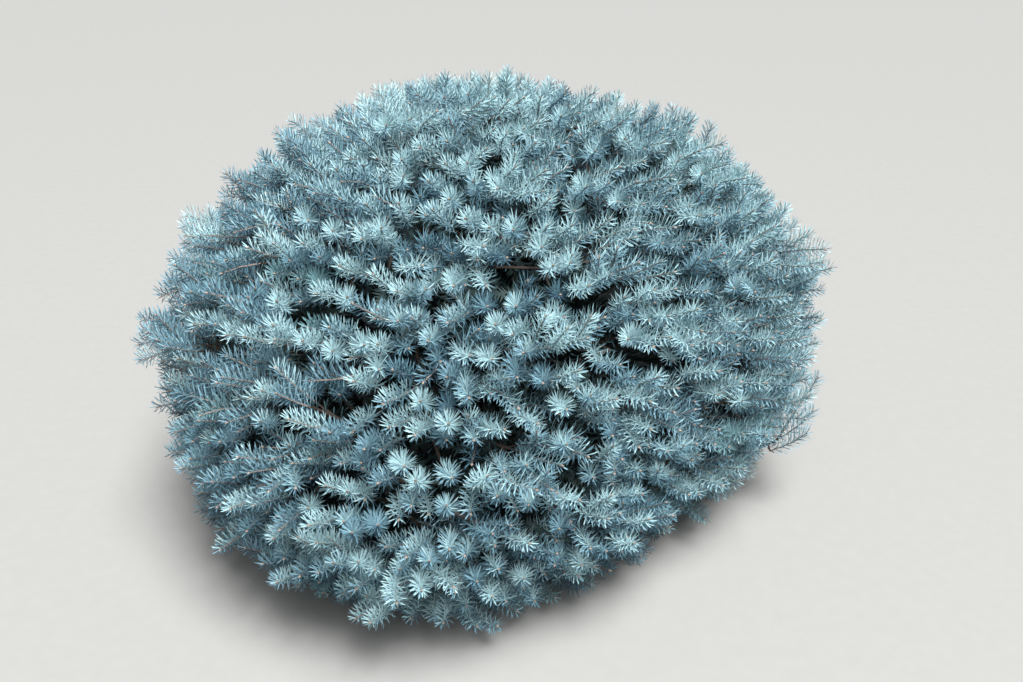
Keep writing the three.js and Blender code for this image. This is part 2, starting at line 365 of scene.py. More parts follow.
@dataclass(frozen=True)
class Crown:
    """The crown's smooth shape: a flattened, slightly lobed dome that draws in towards the ground."""

    radius: float = 0.587
    height: float = 0.745
    widest: float = 0.294  # the height at which the crown is widest
    foot_share: float = 0.73  # its radius at the ground, over the widest
    soil_gap: float = 0.004
    heart: tuple[float, float, float] = (0.0, 0.0, 0.190)  # the place that the foliage spreads from
    lobes: tuple[Lobe, ...] = (
        Lobe(1, 0.028, 84),
        Lobe(2, 0.042, 118),
        Lobe(3, 0.05, -3),
        Lobe(4, 0.03, 24),
    )
    halvings: int = 24  # the steps to the crown's surface

    def radius_towards(self, azimuth: Array) -> Array:
        """Give the widest radius towards each azimuth.

        Args:
            azimuth: the azimuths, in radians.

        Returns:
            The radii.
        """
        swells = 0.0
        for lobe in self.lobes:
            swells = swells + lobe.swell * np.cos(lobe.waves * azimuth - math.radians(lobe.heading))
        return self.radius * (1 + swells)

    def share(self, points: Array) -> Array:
        """Tell how far out points lie.

        Args:
            points: the points (..., 3).

        Returns:
            0 on the trunk's line, 1 on the crown's surface.
        """
        x, y, z = points[..., 0], points[..., 1], points[..., 2]
        out = np.hypot(x, y) / self.radius_towards(np.arctan2(y, x))
        above = np.hypot(out, (z - self.widest) / (self.height - self.widest))
        drop = (self.widest - z) / self.widest
        below = out / (1 - (1 - self.foot_share) * np.clip(drop, 0, 1) ** 2)
        return np.where(z > self.widest, above, below)

    def inside(self, points: Array) -> Array:
        """Tell which points lie in the crown and above the soil."""
        return (points[..., 2] > self.soil_gap) & (self.share(points) < 1)

    def reach(self, directions: Array) -> Array:
        """Find how far the surface lies from the heart, by halving.

        Args:
            directions: unit vectors (n, 3).

        Returns:
            The distances (n,).
        """
        near = np.zeros(len(directions))
        far = np.full(len(directions), 2 * self.radius)
        for _ in range(self.halvings):
            middle = (near + far) / 2
            holds = self.inside(np.array(self.heart) + directions * middle[:, None])
            near = np.where(holds, middle, near)
            far = np.where(holds, far, middle)
        return near

    def outward(self, points: Array) -> Array:
        """Find the directions square to the crown's surface.

        Args:
            points: the points near the surface (n, 3).

        Returns:
            Unit vectors (n, 3).
        """
        step = 1e-3
        slopes = [self.share(points + step * axis) - self.share(points - step * axis) for axis in np.eye(3)]
        return unit(np.stack(slopes, axis=-1))


@dataclass(frozen=True)
class Mass:
    """One mass of foliage, from where it meets its bough's tip or the trunk's."""

    name: str  # as in the solids
    azimuth: float  # where it stands round the trunk, in radians
    axis: Array  # the direction that its stem sets out in
    start: Array  # where its stem starts
    middle: Array  # the middle of the space that it fills
    stem: float  # the stem's radius at the start


@dataclass(frozen=True)
class Whorl:
    """A ring of boughs round the trunk."""

    name: str
    count: int
    rise: float  # the slope from the heart to the middle of a mass, in degrees
    twist: float  # where its first bough stands round the trunk, in degrees
    leaves: float  # the height at which the boughs leave the trunk
    radius: float  # a bough's, at the trunk

    def stray(self, tier: int, i: int, spread: float) -> float:
        """Tell how far a bough strays from its even place, in degrees."""
        return (2 * float(scatter(tier + 1, i + 1)) - 1) * spread


@dataclass(frozen=True)
class Scaffold:
    """The wood that the solids give: the trunk's line, the whorls of boughs and where each mass starts."""

    crown: Crown
    trunk_height: float = 0.395
    trunk_lean: tuple[float, float] = (-0.014, 0.010)
    foot_radius: float = 0.036
    tip_radius: float = 0.011
    flare_radius: float = 0.026
    flare_height: float = 0.055
    flare_roots: int = 5
    flare_depth: float = 0.3
    whorls: tuple[Whorl, ...] = (
        Whorl("skirt", 6, -9, 12, 0.058, 0.013),
        Whorl("middle", 6, 22, 42, 0.142, 0.012),
        Whorl("upper", 4, 53, 4, 0.240, 0.010),
    )
    spread: float = 3.0  # how far a bough strays from its even place, at most, in degrees
    step: float = 0.034  # how much higher every other bough leaves the trunk
    bough_rise: float = 34.0  # the slope at which it does, in degrees
    bough_bend: float = 0.4
    bough_taper: float = 0.55  # a bough's radius at its tip, over that at the trunk
    bare_share: float = 0.42  # the share of the way to the surface at which a mass starts
    mass_share: float = 0.66  # and the share that its middle lies at

    def trunk_curve(self) -> Array:
        """Give the trunk's three control points (1, 3, 3)."""
        top = (self.trunk_lean[0], self.trunk_lean[1], self.trunk_height)
        return np.array([[(0, 0, 0), (0, 0, self.trunk_height / 2), top]], float)

    def trunk_radius(self, along: Array, angle: Array) -> Array:
        """Give the trunk's radius, root flare and all.

        Args:
            along: shares of the way up (stations, 1).
            angle: the angles round (1, sides).

        Returns:
            The radii (stations, sides).
        """
        flare = np.exp(-along * self.trunk_height / self.flare_height)
        roots = 1 + self.flare_depth * flare * np.cos(self.flare_roots * angle)
        return (mix(self.foot_radius, self.tip_radius, along) + self.flare_radius * flare) * roots

    def masses(self) -> list[Mass]:
        """Place the masses of foliage, whorl by whorl, and the one on the trunk's tip.

        Returns:
            The masses, in the solids' order.
        """
        heart = np.array(self.crown.heart)
        found = []
        for tier, whorl in enumerate(self.whorls):
            for i in range(whorl.count):
                stray = whorl.stray(tier, i, self.spread)
                azimuth = math.radians(whorl.twist + 360 * i / whorl.count + stray)
                axis = heading(azimuth, math.radians(whorl.rise + stray / 2))
                reach = self.crown.reach(axis[None])[0]
                start = heart + self.bare_share * reach * axis
                middle = heart + self.mass_share * reach * axis
                stem = whorl.radius * self.bough_taper
                found.append(Mass(f"{whorl.name}_{i + 1}", azimuth, axis, start, middle, stem))
        curve = self.trunk_curve()
        axis = bezier_slope(curve, np.ones((1, 1)))[0, 0]
        middle = heart + self.mass_share * self.crown.reach(UP[None])[0] * UP
        found.append(Mass("top", 0.0, axis, curve[0, 2], middle, self.tip_radius))
        return found

    def bough_line(self, mass: Mass, tier: int, i: int, along: Array) -> Array:
        """Follow a bough from inside the trunk to its mass.

        Args:
            mass: the mass that the bough carries.
            tier: which whorl it is in.
            i: which bough of the whorl it is.
            along: shares of the way (stations,).

        Returns:
            The points (stations, 3).
        """
        leaves = self.whorls[tier].leaves + (i % 2) * self.step
        root = bezier(self.trunk_curve(), np.array([[leaves / self.trunk_height]]))[0, 0]
        length = np.linalg.norm(mass.start - root)
        first = root + heading(mass.azimuth, math.radians(self.bough_rise)) * length * self.bough_bend
        second = mass.start - mass.axis * length * self.bough_bend
        t = along[:, None]
        outer = (1 - t) ** 3 * root + t**3 * mass.start
        return outer + 3 * (1 - t) ** 2 * t * first + 3 * (1 - t) * t**2 * second


@dataclass(frozen=True)
class SpruceBark:
    """Bark of a young spruce: thin grey-brown scales that flake off round their edges, left as grown.

    It gives the eye a dull, broken surface, paler on the faces of the scales and darker in the cracks.
    """

    crack: str = "#3f322a"
    scale: str = "#7a6758"
    weathered: str = "#958878"
    scale_width: float = 0.009
    scale_stretch: tuple[float, float, float] = (1.0, 1.0, 0.55)  # below 1, the scales are longer that way
    crack_edges: tuple[float, float] = (0.02, 0.16)  # where a crack starts to pale and where it ends
    grain_width: float = 0.0015

    def material(self) -> bpy.types.Material:
        """Make the bark's node material.

        Returns:
            The material.
        """
        material, tree, place = new_material("spruce_bark")
        stretch = add_node(tree, "ShaderNodeMapping", {"Scale": self.scale_stretch}, {"Vector": place})
        cells = {"feature": "DISTANCE_TO_EDGE", "Scale": 1 / self.scale_width}
        scales = add_node(tree, "ShaderNodeTexVoronoi", cells, {"Vector": stretch.outputs["Vector"]})
        ramp = add_node(tree, "ShaderNodeValToRGB", {}, {"Fac": scales.outputs["Distance"]})
        for stop, tone, edge in zip(ramp.color_ramp.elements, (self.crack, self.scale), self.crack_edges):
            stop.color = linear(tone)
            stop.position = edge
        fine = {"Scale": 1 / self.grain_width, "Detail": 4.0}
        grain = add_node(tree, "ShaderNodeTexNoise", fine, {"Vector": place}).outputs["Fac"]
        bump = add_node(tree, "ShaderNodeBump", {"Strength": 0.6, "Distance": 0.001}, {"Height": grain})
        tones = (ramp.outputs["Color"], self.weathered)
        shine = {"Roughness": 0.9, "IOR": 1.45}
        return finish_material(material, grain, tones, shine, {"Normal": bump.outputs["Normal"]})


@dataclass(frozen=True)
class TwigBark:
    """The smooth skin of a young spruce twig, tan to orange, ridged by the pegs that the needles leave.

    It gives the eye the warm line that shows between the needles of each shoot.
    """

    name: str
    ridge: str
    groove: str
    peg_spacing: float = 0.003

    def material(self) -> bpy.types.Material:
        """Make the twig's node material.

        Returns:
            The material.
        """
        material, tree, place = new_material(self.name)
        fine = {"Scale": 1 / self.peg_spacing, "Detail": 2.0}
        pegs = add_node(tree, "ShaderNodeTexNoise", fine, {"Vector": place}).outputs["Fac"]
        bump = add_node(tree, "ShaderNodeBump", {"Strength": 0.5, "Distance": 0.0005}, {"Height": pegs})
        tones = (self.groove, self.ridge)
        shine = {"Roughness": 0.7, "IOR": 1.45}
        return finish_material(material, pegs, tones, shine, {"Normal": bump.outputs["Normal"]})


@dataclass(frozen=True)
class BudScales:
    """The papery scales of a spruce bud, dry, thin and overlapping.

    They give the eye the matt tan heart of each shoot that is seen end on.
    """

    face: str = "#a3958a"
    edge: str = "#87776b"
    scale_width: float = 0.0025

    def material(self) -> bpy.types.Material:
        """Make the bud's node material.

        Returns:
            The material.
        """
        material, tree, place = new_material("bud_scales")
        cells = add_node(tree, "ShaderNodeTexVoronoi", {"Scale": 1 / self.scale_width}, {"Vector": place})
        scales = cells.outputs["Distance"]
        bump = add_node(tree, "ShaderNodeBump", {"Strength": 0.4, "Distance": 0.0005}, {"Height": scales})
        tones = (self.face, self.edge)
        shine = {"Roughness": 0.75, "IOR": 1.45}
        return finish_material(material, scales, tones, shine, {"Normal": bump.outputs["Normal"]})


@dataclass(frozen=True)
class NeedleWax:
    """A spruce needle's hard skin under a bloom of pale wax, in tubes too fine to see, as grown.

    The bloom gives the eye a matt blue-grey. Where it is thin or rubbed, the needle's green comes through.
    """

    name: str
    bloom: str
    rubbed: str
    roughness: float = 0.6
    rubbed_gloss: float = 0.15  # how much smoother the rubbed places are
    patch_width: float = 0.012

    def material(self) -> bpy.types.Material:
        """Make the needle's node material.

        Returns:
            The material.
        """
        material, tree, place = new_material(self.name)
        wide = {"Scale": 1 / self.patch_width, "Detail": 2.0}
        patches = add_node(tree, "ShaderNodeTexNoise", wide, {"Vector": place}).outputs["Fac"]
        edges = {"From Min": 0.35, "From Max": 0.75, "To Min": 0.0, "To Max": 0.55}
        bare = add_node(tree, "ShaderNodeMapRange", edges, {"Value": patches}).outputs["Result"]
        shine = {"To Min": self.roughness, "To Max": self.roughness - self.rubbed_gloss}
        gloss = add_node(tree, "ShaderNodeMapRange", shine, {"Value": bare})
        tones = (self.bloom, self.rubbed)
        return finish_material(material, bare, tones, {"IOR": 1.45}, {"Roughness": gloss.outputs["Result"]})


class Tint(Enum):
    """How thick the wax lies on a shoot's needles, and so how blue they are, and partly painted light and
    shade: pale tints as painted light, dark ones as painted shade.
    """

    FROSTY = "frosty"
    POWDER = "powder"
    STEEL = "steel"
    SLATE = "slate"
    SAGE = "sage"
    OLD = "old"


# from pale to dark: FROSTY also serves as painted light on the top, STEEL and SLATE as painted shade low
# down, on the -x side and inside
NEEDLE_FINISHES = {
    Tint.FROSTY: NeedleWax("needle_wax_frosty", "#a1c1c6", "#83a8b0"),
    Tint.POWDER: NeedleWax("needle_wax_powder", "#799daa", "#5c818e"),
    Tint.STEEL: NeedleWax("needle_wax_steel", "#5f8391", "#446673"),
    Tint.SLATE: NeedleWax("needle_wax_slate", "#3f5e6d", "#2b4854"),
    Tint.SAGE: NeedleWax("needle_wax_sage", "#6b8e95", "#4b7075"),
    Tint.OLD: NeedleWax("needle_wax_old", "#37535a", "#243c3a", 0.55),
}
# painted shade: a dark copy of the needle wax, for the old sprays in the crown's shade
SHADED_NEEDLES = NeedleWax("needle_wax_shaded", "#263a3a", "#1a2825", 0.7)
# painted shade: the near-black finish of the mat of dead needles inside the crown
DEAD_NEEDLES_PAINTED_SHADE = NeedleWax("dead_needles", "#121c1c", "#0e1411", 0.8)
YOUNG_TWIG = TwigBark("young_twig_bark", "#8c7e74", "#70625a")
OLD_TWIG = TwigBark("old_twig_bark", "#3c3029", "#271e16", 0.004)


@dataclass(frozen=True)
class WaxAndPaintedLight:
    """Where the wax lies thick: on the open top. It is thinner low down, in the shade and inside. These
    tints by place are also painted light and shade: paler on the top as painted light, darker on the -x
    side, low down and inside as painted shade.
    """

    deep: float = 0.09  # the depth below the surface that counts as full, as a share of the way out
    frosty: tuple[float, float] = (0.12, 1.05)  # its chance at the foot, and what the top adds as painted light
    frosty_bend: float = 1.4  # how late on the way up it comes
    frosty_losses: tuple[float, float] = (0.6, 0.7)  # the shares that full shade and full depth take away
    powder: tuple[float, float] = (0.45, -0.12)  # its chance, and what full shade adds
    steel: tuple[float, float, float, float] = (0.40, -0.38, 0.6, 0.35)  # at the foot; top, shade, depth add
    slate: float = 0.15  # what full depth adds, as painted shade
    sage: tuple[float, float] = (0.05, 0.08)  # what the foot and full shade add

    def choose(self, place: Array, crown: Crown, chance: np.random.Generator) -> Tint:
        """Choose the tint for a shoot, by its wax and by painted light and shade.

        Args:
            place: where the shoot ends.
            crown: the crown that it is part of.
            chance: the source of chance.

        Returns:
            The tint.
        """
        # painted light and shade: paler tints higher up, darker ones towards the -x side and deeper in the
        # crown
        height = np.clip(place[2] / crown.height, 0, 1)
        shade = np.clip(-place[0] / crown.radius, 0, 1)
        depth = np.clip((1 - float(crown.share(place))) / self.deep, 0, 1)
        frosty = self.frosty[0] + self.frosty[1] * height**self.frosty_bend
        frosty = frosty * (1 - self.frosty_losses[1] * depth) * (1 - self.frosty_losses[0] * shade)
        powder = self.powder[0] + self.powder[1] * shade
        steel = self.steel[0] + self.steel[1] * height + self.steel[2] * shade + self.steel[3] * depth
        sage = (self.sage[0] * (1 - height) ** 2 + self.sage[1] * shade) * (1 - depth)
        weights = np.array([frosty, powder, steel, self.slate * depth, sage])
        tints = (Tint.FROSTY, Tint.POWDER, Tint.STEEL, Tint.SLATE, Tint.SAGE)
        return tints[int(chance.choice(len(tints), p=weights / weights.sum()))]


@dataclass(frozen=True)
class NeedleHabit:
    """How needles stand round a twig. Each is a thin pointed blade with a twist, to show from every side."""

    length: float
    width: float
    spacing: float  # the length of twig to each needle
    leans: tuple[float, float, float]  # the angles between needle and twig at LEAN_WAYS, in degrees
    shorts: tuple[float, float, float, float]  # the needles' lengths at SHORT_WAYS, over the full length
    lift: float = 0.06  # how far needles sweep upwards
    crowding: float = 0.9  # below 1, the needles stand closer together towards the tip
    shoulder: float = 0.8  # the share of a needle's way at which its point begins
    twist: float = 0.9  # how far the shoulder is turned from the root, in radians
    curl: float = 0.03  # how far the point bends upwards, as a share of the length
    upper: float = 0.14  # how much longer the upper needles are than the mean, as a share
    jitter: tuple[float, float] = (0.3, 0.7)  # the part of its own space in which a needle stands
    turn_stray: float = 0.08  # the usual error of its place round the twig, in radians
    lean_stray: float = 2.5  # the usual error of its lean, in degrees
    length_range: tuple[float, float] = (0.92, 1.07)
    roll_stray: float = 0.35  # the usual turn of its blade about itself, in radians

    def corners(
        self,
        curves: Array,
        spans: Array,
        thinning: Array | float,
        chance: np.random.Generator,
    ) -> tuple[Array, Array]:
        """Set needles along curves.

        Args:
            curves: the twigs' control points (curves, 3, 3).
            spans: the shares of each curve's way between which it has needles (curves, 2).
            thinning: how many times the usual spacing its needles have, for each curve.
            chance: the source of chance.

        Returns:
            The needles' corners (needles, 5, 3), and the number of the curve that each stands on.
        """
        covered = lengths_of(curves) * (spans[:, 1] - spans[:, 0])
        counts = np.maximum(np.round(covered / (self.spacing * thinning)).astype(int), 0)
        owner = np.repeat(np.arange(len(curves)), counts)
        total = len(owner)
        order = np.arange(total) - np.repeat(np.cumsum(counts) - counts, counts)
        way = ((order + chance.uniform(*self.jitter, total)) / counts[owner]) ** self.crowding
        along = mix(spans[owner, 0], spans[owner, 1], way)[:, None]
        place = bezier(curves[owner], along)[:, 0]
        tangent = bezier_slope(curves[owner], along)[:, 0]
        pole = np.where(np.abs(tangent[:, 2:]) > STEEP, np.eye(3)[1], UP)
        aside = unit(np.cross(tangent, pole))
        angle = (order * GOLDEN_TURN + chance.normal(0, self.turn_stray, total))[:, None]
        outward = aside * np.cos(angle) + np.cross(tangent, aside) * np.sin(angle)
        lean = np.interp(way, LEAN_WAYS, self.leans) + chance.normal(0, self.lean_stray, total)
        lean = np.radians(lean)[:, None]
        direction = unit(tangent * np.cos(lean) + outward * np.sin(lean) + self.lift * UP)
        size = self.length * np.interp(way, SHORT_WAYS, self.shorts)
        size = (size * (1 + self.upper * outward[:, 2]) * chance.uniform(*self.length_range, total))[:, None]
        roll = chance.normal(0, self.roll_stray, total)[:, None]
        first = unit(np.cross(tangent, direction))
        flat = first * np.cos(roll) + np.cross(direction, first) * np.sin(roll)
        half = 0.5 * self.width
        twisted = flat * math.cos(self.twist) + np.cross(direction, flat) * math.sin(self.twist)
        neck = place + self.shoulder * size * direction
        point = place + size * (direction + self.curl * UP)
        root_edges = [place + half * flat, place - half * flat]
        neck_edges = [neck + half * twisted, neck - half * twisted]
        return np.stack([*root_edges, *neck_edges, point], axis=1), owner


YOUNG_NEEDLES = NeedleHabit(
    length=0.0235,
    width=0.00165,
    spacing=0.00090,
    leans=(74, 60, 30),
    shorts=(0.8, 1, 1, 0.72),
    lift=0.30,
)
OLD_NEEDLES = NeedleHabit(
    length=0.019,
    width=0.0020,
    spacing=0.0075,
    leans=(72, 60, 50),
    shorts=(0.9, 1, 1, 0.9),
)


@dataclass(frozen=True)
class Bud:
    """A spruce's bud, a small body of eight faces on a shoot's tip with its point outwards."""

    foot: float = 0.0015  # how far behind the tip it starts
    waist: float = 0.0016  # how far before the tip it is thickest
    point: float = 0.0062  # how far before the tip it ends
    radius: float = 0.0023

    def build(self, curves: Array) -> Shape:
        """Make the bud at each shoot's tip.

        Args:
            curves: the shoots' control points (shoots, 3, 3).

        Returns:
            The corners and triangles.
        """
        tips = curves[:, 2]
        way = unit(tips - curves[:, 1])
        near_up = UP + 0.01  # a little off the upright, for the shoots that stand upright
        side = unit(np.cross(way, near_up))
        front = np.cross(way, side)
        middle = tips + self.waist * way
        turns = np.arange(4) * math.pi / 2
        ring = [middle + self.radius * (side * math.cos(turn) + front * math.sin(turn)) for turn in turns]
        corners = np.stack([tips - self.foot * way, tips + self.point * way, *ring], axis=1)
        lower = [(0, 2 + (i + 1) % 4, 2 + i) for i in range(4)]
        upper = [(1, 2 + i, 2 + (i + 1) % 4) for i in range(4)]
        return joined(corners, np.array(lower + upper))


@dataclass(frozen=True)
class OldSpray:
    """A spray of old and dead needles in the crown's shade, dark as painted shade: a blade with a tooth for
    each needle.
    """

    teeth: int = 14  # on each side
    needle: float = 0.017
    lean: float = 58.0  # the angle between needle and twig, in degrees
    short_teeth: int = 3  # how many of the last needles grow shorter
    shortest: float = 0.6  # the last needle's length, over the full length
    length_range: tuple[float, float] = (0.65, 1.1)
    stray: float = 0.55  # how far a needle usually stands out of the flat, as a share of its length
    lowest: float = 0.004  # no corner lies lower

    def build(self, sprays: list, chance: np.random.Generator) -> Shape:
        """Make the sprays.

        Args:
            sprays: the root, the tip and a direction out of the twig's line, for each spray.
            chance: the source of chance.

        Returns:
            The corners and triangles.
        """
        root, top, aside = (np.array(column) for column in zip(*sprays))
        way = unit(top - root)
        side = unit(np.cross(way, aside))
        over = np.cross(way, side)[:, None]
        steps = np.linspace(0, 1, self.teeth + 1)[None, :, None]
        spine = mix(root[:, None], top[:, None], steps)
        middle = (spine[:, 1:] + spine[:, :-1]) / 2
        ends = (0, self.teeth - self.short_teeth, self.teeth - 1)
        taper = np.interp(np.arange(self.teeth), ends, (1, 1, self.shortest))[None, :, None]
        cosine, sine = math.cos(math.radians(self.lean)), math.sin(math.radians(self.lean))
        points = []
        for hand in (-1, 1):
            length = chance.uniform(*self.length_range, middle.shape[:2])[..., None]
            out_of_flat = chance.normal(0, self.stray, middle.shape[:2])[..., None]
            aslant = (cosine * way + hand * sine * side)[:, None]
            points.append(middle + self.needle * taper * length * (aslant + out_of_flat * over))
        corners = np.concatenate([spine, *points], axis=1)
        corners[..., 2] = np.maximum(corners[..., 2], self.lowest)
        left, right = self.teeth + 1, 2 * self.teeth + 1
        faces = [(i, i + 1, left + i) for i in range(self.teeth)]
        faces += [(i + 1, i, right + i) for i in range(self.teeth)]
        return joined(corners, np.array(faces))


@dataclass(frozen=True)
class Fan:
    """A flat fan of shoots at the end of a twig."""

    centre: Array  # where the tip of its middle shoot would be
    main: Array  # the direction of its middle shoot
    level: Array  # the direction across the fan
    above: Array  # the direction out of the fan's plane, on its upper side

    def behind(self, distance: float) -> Array:
        """Give the point on the fan's own twig that lies so far behind its tip."""
        return self.centre - distance * self.main


@dataclass(frozen=True)
class FanHabit:
    """The sizes of the fans and of their shoots. A stray is the usual error of what it is named for."""

    depth: float = 0.15  # how far behind its tip a fan's own twig starts
    depth_range: tuple[float, float] = (0.85, 1.0)  # the shares of that between which it starts
    twig: tuple[float, float] = (0.1, 0.06)  # how far behind the tip its own twig has its middle and its end
    twig_bend: float = 0.3  # how far the twig that carries it curves in behind it, as a share of its length
    counts: tuple[int, ...] = (2, 3, 4, 5)  # how many shoots stand side by side
    count_chances: tuple[float, ...] = (0.15, 0.3, 0.35, 0.2)
    gap: float = 0.038  # the space from tip to tip
    gap_stray: float = 0.004
    arc_radius: float = 0.17  # the tips stand on an arc
    roll: float = 11.0  # the stray of the fan's turn about its middle shoot, in degrees
    aim: float = 8.0  # the stray of a shoot's own direction, in degrees
    back_stray: float = 0.008  # of a tip, along the fan
    height_stray: float = 0.007  # of a tip, out of the fan's plane
    fork: float = 0.065  # how far behind the tip a shoot leaves the fan's twig
    fork_range: float = 0.02
    fork_slope: float = 0.8  # how much further behind the outer shoots leave, over their place to the side
    growth: tuple[float, float] = (0.060, 0.092)  # the length of this year's growth
    leader: float = 0.008  # how much longer the middle shoot's growth is
    own_tint: float = 0.25  # the chance that a shoot has a wax of its own
    extras: tuple[int, ...] = (0, 1, 2)  # how many shoots rise from the fan
    extra_chances: tuple[float, ...] = (0.55, 0.35, 0.1)
    extra_fork: tuple[float, float] = (0.05, 0.09)  # how far behind the tip they leave
    extra_side: float = 0.02  # the stray of that to the side
    extra_lift: tuple[float, float] = (20, 40)  # the slope at which they rise, in degrees
    extra_aim: float = 0.25  # the stray of their direction
    extra_length: tuple[float, float] = (0.05, 0.07)
    extra_growth: float = 0.05


@dataclass(frozen=True)
class SprayHabit:
    """How a spray's fans and old sprays lie. A stray is the usual error of what it is named for."""

    layer_gap: float = 0.038  # the space up the crown's surface from fan to fan
    layer_stray: float = 0.006
    side_stray: float = 0.022
    drop: float = 0.04  # how far below the spray's own height its lower fans may lie
    under_depth: float = 0.045  # how far below the surface the fans in the shade lie
    under_side: float = 0.04  # the stray of their place to the side
    under_hands: tuple[float, float] = (-0.8, 0.8)  # their places up the surface, in layer gaps
    under_count: int = 3  # how many shoots each has
    tuft_share: float = 0.16  # the share of sprays that stand proud of the crown
    tuft_rise: tuple[float, float] = (0.008, 0.026)
    old_sprays: int = 22
    old_start: tuple[float, float] = (-0.1, 0.6)  # the shares of the way to the tip between which they start
    old_stray: float = 0.035
    old_aim: float = 0.8  # how far outwards they may point
    old_spread: float = 0.6  # the stray of their direction
    old_length: tuple[float, float] = (0.06, 0.09)
    old_share: float = 0.86  # the share of the way out that none passes


@dataclass(frozen=True)
class FillHabit:
    """The single shoots that grow where the fans leave a hole, but for a few hollows."""

    places: int = 5000  # how many places on the crown are looked at
    rise: float = 0.005  # how far a place may stand proud of the surface
    depth: float = 0.025  # how far below the surface it may lie
    gap: float = 0.033  # a hole is a place with no shoot's tip so near
    hollows: int = 9  # how many hollows stay open
    hollow_reach: float = 0.032
    length: tuple[float, float] = (0.07, 0.1)
    growth: tuple[float, float] = (0.06, 0.09)  # the length of this year's growth
    sag: float = 0.006  # how far the middle hangs below a straight line


@dataclass
class Shoots:
    """Every shoot of the shrub, as curves with this year's growth at their ends."""

    curves: list = field(default_factory=list)
    growth: list = field(default_factory=list)
    tints: list = field(default_factory=list)
    tips: Array = field(default_factory=lambda: np.zeros((MOST_SHOOTS, 3)))

    def crowd(self, place: Array, gap: float) -> bool:
        """Tell whether a shoot ends within a gap of a place."""
        return bool((np.linalg.norm(self.tips[: len(self.curves)] - place, axis=1) < gap).any())

    def add(self, root: Array, bend: Array, tip: Array, growth: float, tint: Tint) -> None:
        """Add one shoot.

        Args:
            root: where it leaves its twig.
            bend: the control point that it curves towards.
            tip: where it ends.
            growth: the length of this year's growth, which has the young needles.
            tint: the wax on its needles.
        """
        self.tips[len(self.curves)] = tip
        self.curves.append((root, bend, tip))
        self.growth.append(growth)
        self.tints.append(tint)


